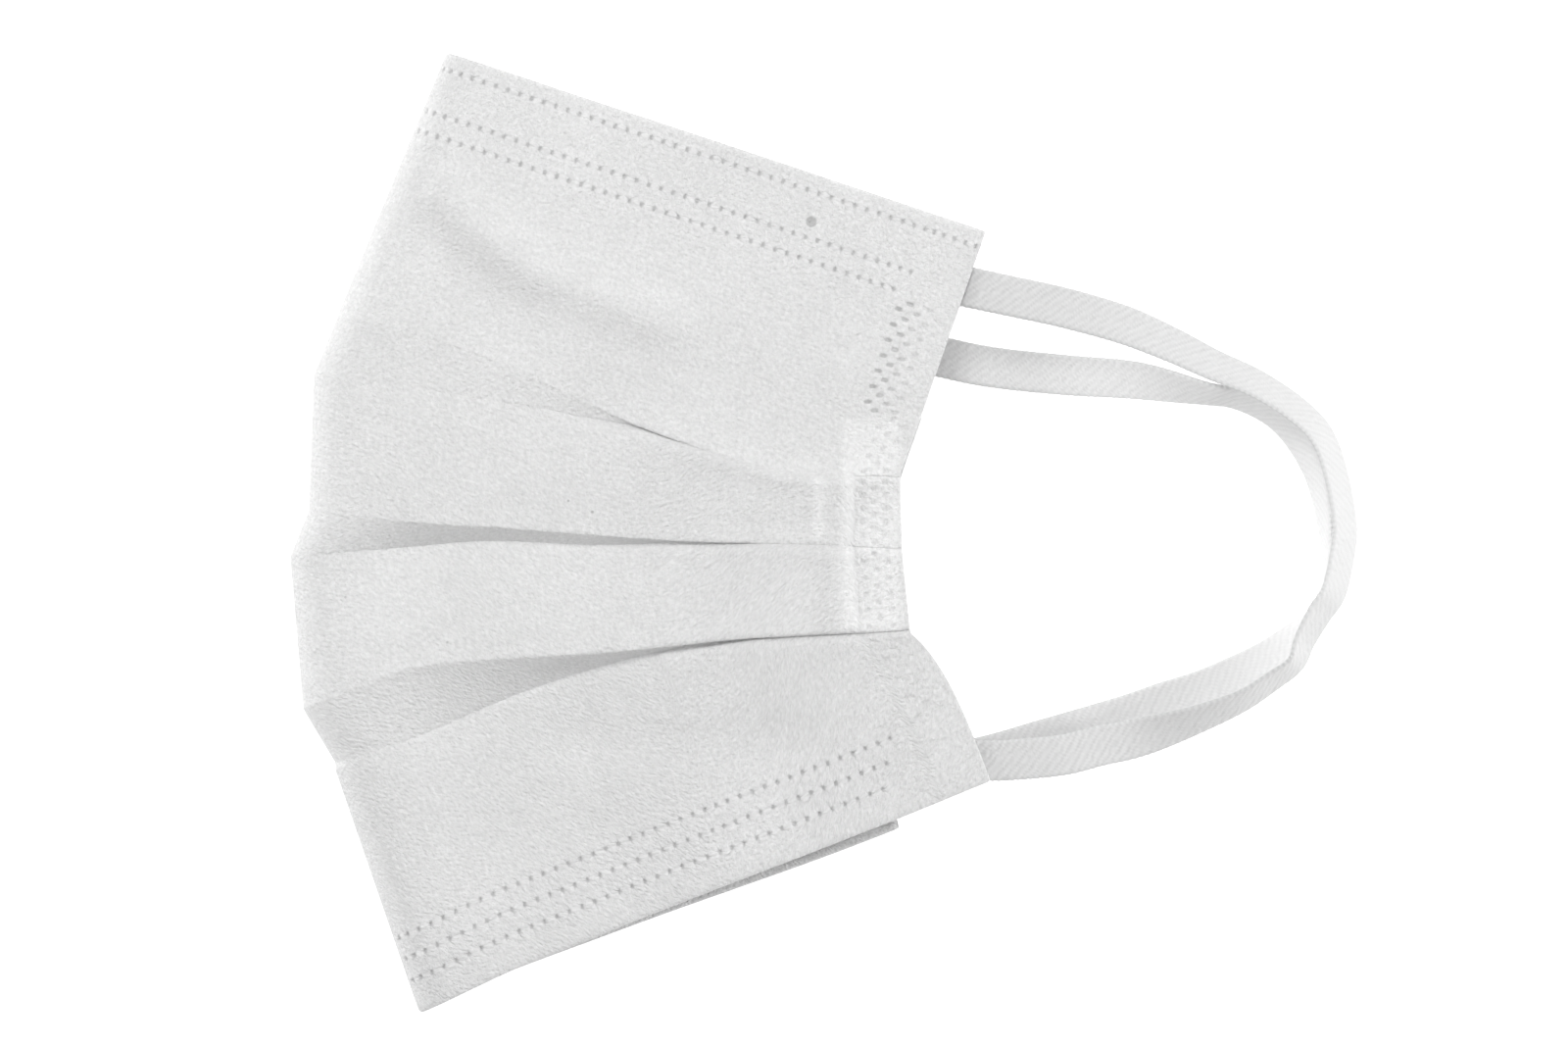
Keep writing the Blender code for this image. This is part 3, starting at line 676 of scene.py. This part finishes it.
def press_dots(shape, across, dots):
    """Presses a round-cornered dent into the cell of each dot, and marks how dark it is."""
    pressed = shape.verts.layers.float.new("pressed")
    if not dots:
        return
    by_cell = faces_by_cell(shape, across)
    shared = []
    for dot in dots:
        if dot.span == WIDE_CELL:
            other = by_cell[(dot.column + 1, dot.row)]
            shared += [edge for edge in by_cell[(dot.column, dot.row)].edges if other in edge.link_faces]
    bmesh.ops.dissolve_edges(shape, edges=shared)
    by_cell = faces_by_cell(shape, across)
    cells = []
    for dot in dots:
        face = by_cell[(dot.column, dot.row)]
        corner = {(v.index % across - dot.column, v.index // across - dot.row): v.co.copy() for v in face.verts}
        ends = [corner[(0, 0)], corner[(dot.span, 0)], corner[(0, 1)], corner[(dot.span, 1)]]
        centre = sum(ends, Vector()) / 4.0
        right = (ends[1] + ends[3] - ends[0] - ends[2]).normalized()
        below = (ends[2] + ends[3] - ends[0] - ends[1]).normalized()
        cells.append((face, centre, right, below, -face.normal.copy(), dot))
    faces = [cell[0] for cell in cells]
    for size, share, mark in ((1.0, -0.2, 0.1), (0.74, 1.0, 1.0)):
        bmesh.ops.inset_individual(shape, faces=faces, thickness=0.00005, depth=0.0, use_interpolate=True)
        for face, centre, right, below, inward, dot in cells:
            for vertex in face.verts:
                way = vertex.co - centre
                place = centre + right * (dot.wide * size * side_of(way.dot(right)))
                place += below * (dot.tall * size * side_of(way.dot(below)))
                vertex.co = place + inward * (dot.depth * share)
                vertex[pressed] = mark * dot.mark


def faces_by_cell(shape, across):
    """Each face of a sheet by its column and row."""
    by_cell = {}
    for face in shape.faces:
        first = min(vertex.index for vertex in face.verts)
        by_cell[(first % across, first // across)] = face
    return by_cell


def side_of(distance):
    """On which side of the middle a corner is: -1, 1, or 0 for one close to the middle."""
    return 0.0 if abs(distance) < 0.00015 else math.copysign(1.0, distance)


def cloth_dots():
    """The cells of the near half with weld dots."""
    first = FAR_COLUMNS + len(FOLD_ANGLES)
    side = FAR_COLUMNS + 2 * len(FOLD_ANGLES) - 2 + NEAR_COLUMNS
    dots = []
    side_row = 0
    for row, (kind, reach) in enumerate(row_kinds()):
        if kind == "weld":
            for column in range(first, side + reach + 1):
                if column == side + WIDE_CELL + 1:
                    continue
                span = WIDE_CELL if column == side + WIDE_CELL else 1
                dots.append(Dot(column, row, span, *HEM_DOT))
        if kind in ("side", "lower"):
            side_row += 1
            for index, (column, span) in enumerate(SIDE_WELDS):
                if (side_row + index) % 2 == 0 and (kind == "side" or index >= FIRST_LOWER_WELD):
                    fade = (1.0 - SIDE_DOT_FADE * index) * (1.0 if kind == "side" else LOWER_DOT_FADE)
                    depth, mark = SIDE_DOT_DEPTH * fade, SIDE_DOT_MARK * fade
                    dots.append(Dot(side + column, row, span, SIDE_DOT_WIDE, SIDE_DOT_TALL, depth, mark))
        if kind == "strip":
            for column in STRIP_DOT_COLUMNS:
                if (row + column) % 2 == 0:
                    dots.append(Dot(side + column, row, 1, *STRIP_DOT))
    return dots


def value_node(tree, kind, **settings):
    node = tree.nodes.new(kind)
    for key, value in settings.items():
        setattr(node, key, value)
    return node


def scaled_noise(tree, uv, scale, detail, low, high):
    """Noise on the flat cloth, spread between two values."""
    grain = value_node(tree, "ShaderNodeTexNoise")
    grain.inputs["Scale"].default_value = scale
    grain.inputs["Detail"].default_value = detail
    grain.inputs["Roughness"].default_value = 0.6
    tree.links.new(uv.outputs["UV"], grain.inputs["Vector"])
    spread = value_node(tree, "ShaderNodeMapRange")
    spread.inputs["From Min"].default_value = 0.32
    spread.inputs["From Max"].default_value = 0.68
    spread.inputs["To Min"].default_value = low
    spread.inputs["To Max"].default_value = high
    tree.links.new(grain.outputs["Fac"], spread.inputs["Value"])
    return spread


def multiplied(tree, first, second):
    """The product of two nodes' first outputs."""
    product = value_node(tree, "ShaderNodeMath", operation="MULTIPLY")
    tree.links.new(first.outputs[0], product.inputs[0])
    tree.links.new(second.outputs[0], product.inputs[1])
    return product


def new_material(name, roughness, specular):
    """A material's node tree and its shader."""
    material = bpy.data.materials.new(name)
    material.use_nodes = True
    shader = material.node_tree.nodes["Principled BSDF"]
    shader.inputs["Roughness"].default_value = roughness
    shader.inputs["Specular IOR Level"].default_value = specular
    return material, material.node_tree, shader


def add_bump(tree, shader, height, strength, distance):
    bump = value_node(tree, "ShaderNodeBump")
    bump.inputs["Strength"].default_value = strength
    bump.inputs["Distance"].default_value = distance
    tree.links.new(height.outputs[0], bump.inputs["Height"])
    tree.links.new(bump.outputs["Normal"], shader.inputs["Normal"])


def pressed_shade(tree, lowest, highest, darkest):
    """One on plain cloth, down to the darkest value where the cloth is pressed, and on the knitted band where
    shade is painted.
    """
    pressed = value_node(tree, "ShaderNodeAttribute", attribute_name="pressed")
    shade = value_node(tree, "ShaderNodeMapRange")
    shade.inputs["From Min"].default_value = lowest
    shade.inputs["From Max"].default_value = highest
    shade.inputs["To Min"].default_value = 1.0
    shade.inputs["To Max"].default_value = darkest
    tree.links.new(pressed.outputs["Fac"], shade.inputs["Value"])
    return shade


def add_colour(tree, shader, white, shade):
    mix = value_node(tree, "ShaderNodeVectorMath", operation="SCALE")
    mix.inputs[0].default_value = (white, white, white)
    tree.links.new(shade.outputs[0], mix.inputs["Scale"])
    tree.links.new(mix.outputs["Vector"], shader.inputs["Base Color"])


def mark_node(tree, x, y, radius, depth):
    """A round mark on the cloth, seen from above: darker within its radius."""
    place = value_node(tree, "ShaderNodeTexCoord")
    flat = value_node(tree, "ShaderNodeVectorMath", operation="MULTIPLY")
    flat.inputs[1].default_value = (1.0, 1.0, 0.0)
    tree.links.new(place.outputs["Object"], flat.inputs[0])
    far = value_node(tree, "ShaderNodeVectorMath", operation="DISTANCE")
    far.inputs[1].default_value = (x / 1000.0, y / 1000.0, 0.0)
    tree.links.new(flat.outputs["Vector"], far.inputs[0])
    ring = value_node(tree, "ShaderNodeMapRange")
    ring.inputs["From Min"].default_value = radius / 1000.0 * 0.75
    ring.inputs["From Max"].default_value = radius / 1000.0
    ring.inputs["To Min"].default_value = 1.0 - depth
    ring.inputs["To Max"].default_value = 1.0
    tree.links.new(far.outputs["Value"], ring.inputs["Value"])
    return ring


def painted_light_node(tree, x, y, wide, tall, gain):
    """A factor above one in a soft-edged box: painted light that makes the cloth whiter there."""
    place = value_node(tree, "ShaderNodeTexCoord")
    axes = value_node(tree, "ShaderNodeSeparateXYZ")
    tree.links.new(place.outputs["Object"], axes.inputs["Vector"])
    insides = []
    for axis, middle, half in (("X", x, wide), ("Y", y, tall)):
        away = value_node(tree, "ShaderNodeMath", operation="SUBTRACT")
        away.inputs[1].default_value = middle / 1000.0
        tree.links.new(axes.outputs[axis], away.inputs[0])
        size = value_node(tree, "ShaderNodeMath", operation="ABSOLUTE")
        tree.links.new(away.outputs["Value"], size.inputs[0])
        inside = value_node(tree, "ShaderNodeMapRange")
        inside.inputs["From Min"].default_value = (half + PAINTED_LIGHT_EDGE) / 1000.0
        inside.inputs["From Max"].default_value = (half - PAINTED_LIGHT_EDGE) / 1000.0
        tree.links.new(size.outputs["Value"], inside.inputs["Value"])
        insides.append(inside)
    both = value_node(tree, "ShaderNodeMath", operation="MULTIPLY")
    for index, inside in enumerate(insides):
        tree.links.new(inside.outputs["Result"], both.inputs[index])
    factor = value_node(tree, "ShaderNodeMath", operation="MULTIPLY_ADD")
    factor.inputs[1].default_value = gain
    factor.inputs[2].default_value = 1.0
    tree.links.new(both.outputs["Value"], factor.inputs[0])
    return factor


def cloth_material(name, white):
    """White nonwoven cloth: mottled fibres, faint clouds, small bonded points, darker pressed dots and boxes of
    painted light.
    """
    material, tree, shader = new_material(name, 0.85, 0.2)
    shader.inputs["Sheen Weight"].default_value = 0.15
    shader.inputs["Sheen Roughness"].default_value = 0.5
    uv = value_node(tree, "ShaderNodeUVMap", uv_map="cloth")
    fibres = scaled_noise(tree, uv, 1.7, 4.0, 0.0, 1.0)
    points = value_node(tree, "ShaderNodeTexVoronoi")
    points.inputs["Scale"].default_value = 1.25
    points.inputs["Randomness"].default_value = 0.35
    tree.links.new(uv.outputs["UV"], points.inputs["Vector"])
    spread = value_node(tree, "ShaderNodeMapRange")
    spread.inputs["From Min"].default_value = 0.05
    spread.inputs["From Max"].default_value = 0.45
    tree.links.new(points.outputs["Distance"], spread.inputs["Value"])
    total = value_node(tree, "ShaderNodeMath", operation="MULTIPLY_ADD")
    total.inputs[1].default_value = 0.4
    tree.links.new(spread.outputs["Result"], total.inputs[0])
    tree.links.new(fibres.outputs["Result"], total.inputs[2])
    add_bump(tree, shader, total, 0.9, 0.00022)
    shade = pressed_shade(tree, 0.3, 2.4, 0.70)
    tints = [
        scaled_noise(tree, uv, 1.5, 5.0, 0.86, 1.03), scaled_noise(tree, uv, 0.07, 2.0, 0.975, 1.01),
        scaled_noise(tree, uv, 0.35, 2.0, 0.97, 1.01),
    ]
    # Painted light: the side strip lighter and a painted highlight on the bulge beside it
    tints += [painted_light_node(tree, *light_box) for light_box in PAINTED_LIGHT_BOXES]
    tints += [mark_node(tree, *mark) for mark in MARKS]
    for tint in tints:
        shade = multiplied(tree, shade, tint)
    add_colour(tree, shader, white, shade)
    return material


def strap_rings(roots, sections):
    """A band's rings on its way from one root to the other: place, across, face and distance."""
    (top, top_tilt), (bottom, bottom_tilt) = roots
    line = (bottom - top).to_2d()
    away = Vector((-line.y, line.x)).normalized() * LOOP_REACH
    stations = []
    for index, section in enumerate(sections):
        root, root_tilt = (top, top_tilt) if index < len(sections) / 2 else (bottom, bottom_tilt)
        plan = top.to_2d() + line * section.down + away * section.out
        tilt = math.radians(section.tilt) + root_tilt * section.root
        height = resting_height(tilt) + FLOOR_GAP + section.layers * (STRAP_THICK + ROOT_CLEARANCE)
        height += section.root * (root.z - resting_height(root_tilt))
        stations.append((plan.x, plan.y, height, tilt))
    count = (len(stations) - 1) * RINGS_PER_SECTION
    route = []
    for index in range(count + 1):
        place = index / RINGS_PER_SECTION
        route.append([through(values, place) for values in zip(*stations)])
    frames = []
    distance = 0.0
    for index, (x, y, z, tilt) in enumerate(route):
        ahead = route[min(index + 1, count)]
        behind = route[max(index - 1, 0)]
        outward = Vector((behind[1] - ahead[1], ahead[0] - behind[0], 0.0)).normalized()
        across = outward * math.cos(tilt) - Vector((0.0, 0.0, math.sin(tilt)))
        face = outward * math.sin(tilt) + Vector((0.0, 0.0, math.cos(tilt)))
        place = Vector((x, y, z))
        if frames:
            distance += (place - frames[-1][0]).length
        frames.append((place, across, face, distance))
    return frames


def resting_height(tilt):
    return (STRAP_WIDTH * abs(math.sin(tilt)) + STRAP_THICK * math.cos(tilt)) / 2.0


def knit_outline(distance):
    """A knitted band's cross-section at a distance along it: slanting ribs, a cord along each edge, and painted
    shade in the rib grooves, between the edge bumps and near the roots.
    """
    outline = []
    half = STRAP_WIDTH / 2.0
    calm = 1.0 - BEND_CALM * math.sin(math.pi * min(distance / STRAP_RUN, 1.0)) ** 4
    root = max(0.0, 1.0 - min(distance, abs(STRAP_RUN - distance)) / ROOT_REACH)
    for side in (1, -1):
        for index in range(OUTLINE_STEPS + 1):
            share = (index / OUTLINE_STEPS * 2.0 - 1.0) * side
            wide = half * math.sin(share * OUTLINE_EASE) / math.sin(OUTLINE_EASE)
            edge = max(abs(wide) / half - SELVAGE_START, 0.0) / (1.0 - SELVAGE_START)
            thick = STRAP_THICK / 2.0 * (1.0 - edge ** 3 * 0.75)
            stray = noise.noise(Vector((distance, wide * side, 0.0)) * STRAY_SCALE)
            way = distance - wide * side + RIB_WANDER * stray
            rib = math.sin(2.0 * math.pi * way / RIB_PITCH) * (0.75 + 0.6 * stray)
            rib += 0.45 * math.sin(2.0 * math.pi * (distance * 1.6 + wide * 2.2 * side) / RIB_PITCH)
            rib *= calm
            thick += RIB_DEPTH * (rib * (1.0 - edge) - 1.35) * 0.37
            bump = math.sin(2.0 * math.pi * distance / SELVAGE_PITCH)
            # Painted shade: darker in the ribs' grooves, between the bumps along each edge and near the roots
            painted_shade = min(max(0.4 - rib * 0.45, 0.0), 1.0) * (1.0 - edge) + edge * (0.7 - 0.5 * bump) * calm
            painted_shade += ROOT_PAINTED_SHADE * root
            outline.append((wide * (1.0 + 0.02 * edge * bump), thick * side, painted_shade))
    return outline


def make_strap(name, frames, material):
    """A band drawn out from its first cross-section through all the others."""
    band = bmesh.new()
    layer = band.loops.layers.uv.new("cloth")
    # The band's painted shade is stored in this attribute
    pressed = band.verts.layers.float.new("pressed")
    rings = []
    painted_shades = []
    for place, across, face, distance in frames:
        outline = knit_outline(distance)
        rings.append([place + across * wide + face * thick for wide, thick, painted_shade in outline])
        painted_shades += [painted_shade for wide, thick, painted_shade in outline]
    ring = [band.verts.new(point) for point in rings[0]]
    band.faces.new(ring)
    size = len(ring)
    for points in rings[1:]:
        edges = [band.edges.get((ring[index - 1], ring[index])) for index in range(size)]
        drawn = bmesh.ops.extrude_edge_only(band, edges=edges)["geom"]
        copies = {tuple(item.co): item for item in drawn if isinstance(item, bmesh.types.BMVert)}
        ring = [copies[tuple(vertex.co)] for vertex in ring]
        for vertex, point in zip(ring, points):
            vertex.co = point
    band.faces.new(ring)
    bmesh.ops.recalc_face_normals(band, faces=band.faces)
    band.verts.index_update()
    for vertex, painted_shade in zip(band.verts, painted_shades):
        vertex[pressed] = painted_shade
    for shown in band.faces:
        for loop in shown.loops:
            index = loop.vert.index
            loop[layer].uv = (index % size * 0.4, frames[min(index // size, len(frames) - 1)][3] * 1000.0)
    mesh = bpy.data.meshes.new(name)
    band.to_mesh(mesh)
    band.free()
    mesh.materials.append(material)
    mesh.shade_smooth()
    strap = bpy.data.objects.new(name, mesh)
    bpy.context.collection.objects.link(strap)
    return strap


def knit_material(name, white):
    """White knitted band, with painted shade read from its vertex attribute: between its ribs, along its edges
    and at its roots.
    """
    material, tree, shader = new_material(name, 0.9, 0.2)
    shader.inputs["Sheen Weight"].default_value = 0.2
    place = value_node(tree, "ShaderNodeTexCoord")
    fibres = value_node(tree, "ShaderNodeTexNoise")
    fibres.inputs["Scale"].default_value = 1800.0
    fibres.inputs["Detail"].default_value = 3.0
    tree.links.new(place.outputs["Object"], fibres.inputs["Vector"])
    add_bump(tree, shader, fibres, 0.6, 0.00015)
    add_colour(tree, shader, white, pressed_shade(tree, 0.0, 1.0, 0.80))
    return material


def place_piece(piece):
    """Moves a piece's own points into the shared frame."""
    for vertex in piece.data.vertices:
        vertex.co = vertex.co + FRAME_SHIFT
    piece.data.update()


def floor_material():
    material, tree, shader = new_material("floor", 1.0, 0.0)
    shader.inputs["Base Color"].default_value = (FLOOR_WHITE, FLOOR_WHITE, FLOOR_WHITE, 1.0)
    shader.inputs["Emission Color"].default_value = (1.0, 1.0, 1.0, 1.0)
    shader.inputs["Emission Strength"].default_value = FLOOR_GLOW
    return material


def area_light(name, place, size, power):
    """A soft lamp that shines at the origin."""
    lamp = bpy.data.lights.new(name, "AREA")
    lamp.shape = "RECTANGLE"
    lamp.size, lamp.size_y = size
    lamp.energy = power
    item = bpy.data.objects.new(name, lamp)
    item.location = place
    item.rotation_euler = (-Vector(place)).to_track_quat("-Z", "Y").to_euler()
    bpy.context.collection.objects.link(item)


def build_stage():
    bpy.ops.mesh.primitive_plane_add(size=6.0, location=(0.0, 0.0, 0.0))
    floor = bpy.context.object
    floor.name = "floor"
    floor.data.materials.append(floor_material())
    world = bpy.data.worlds.new("studio")
    bpy.context.scene.world = world
    world.use_nodes = True
    world.node_tree.nodes["Background"].inputs["Color"].default_value = (1.0, 1.0, 1.0, 1.0)
    world.node_tree.nodes["Background"].inputs["Strength"].default_value = WORLD_LIGHT
    for name, place, size, power in LIGHTS:
        area_light(name, place, size, power)


def build_camera():
    """A long lens straight above the mask."""
    camera = bpy.data.cameras.new("camera")
    camera.lens = CAMERA_LENS
    camera.sensor_width = 36.0
    camera.clip_start = 0.05
    camera.clip_end = 20.0
    item = bpy.data.objects.new("camera", camera)
    item.location = CAMERA_PLACE
    bpy.context.collection.objects.link(item)
    bpy.context.scene.camera = item
    bpy.context.scene.view_settings.view_transform = "Standard"


def main():
    cloth = cloth_material("nonwoven cloth", CLOTH_WHITE)
    hem_cloth = cloth_material("hem cloth", HEM_WHITE)
    # Lit and shaded copies of one knit: painted shade on the near band, painted light on the far one
    lit_and_shaded_knits = {end: knit_material("knitted band %s" % end, white) for end, white in KNIT_WHITES_LIT_AND_SHADED.items()}
    spots = spots_across()
    columns = [half.cloth_column(spot) for half, spot in spots]
    body = make_sheet("cloth_body", columns, cloth, cloth_dots())
    limit = 1.0 - HEM_SIDE_MARGIN / Half(1).length("top")
    inside = [(half, spot) for half, spot in spots if spot.way <= limit]
    top_hem = make_sheet("cloth_top_hem", [h.hem_column(s, TOP_HEM, True) for h, s in inside], hem_cloth)
    low_hem = make_sheet("cloth_bottom_hem", [h.hem_column(s, BOTTOM_HEM, False) for h, s in inside], hem_cloth)
    loops = []
    for end, half, distances, sections in (
        ("near", Half(1), (NEAR_ROOT_TOP, NEAR_ROOT_BOTTOM), NEAR_LOOP),
        ("far", Half(-1), (FAR_ROOT_TOP, FAR_ROOT_BOTTOM), FAR_LOOP),
    ):
        roots = (half.loop_root(True, distances[0]), half.loop_root(False, distances[1]))
        loops.append(make_strap("knit_" + end, strap_rings(roots, sections), lit_and_shaded_knits[end]))
    for piece, node, slot in (
        (body, "mask_body", "nonwoven_cloth"), (top_hem, "top_hem", "hem_cloth"),
        (low_hem, "bottom_hem", "hem_cloth"), (loops[0], "ear_loop_near", "knitted_band"),
        (loops[1], "ear_loop_far", "knitted_band"),
    ):
        place_piece(piece)
        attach(piece, "root")
        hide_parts(node)
    build_stage()
    build_camera()


main()
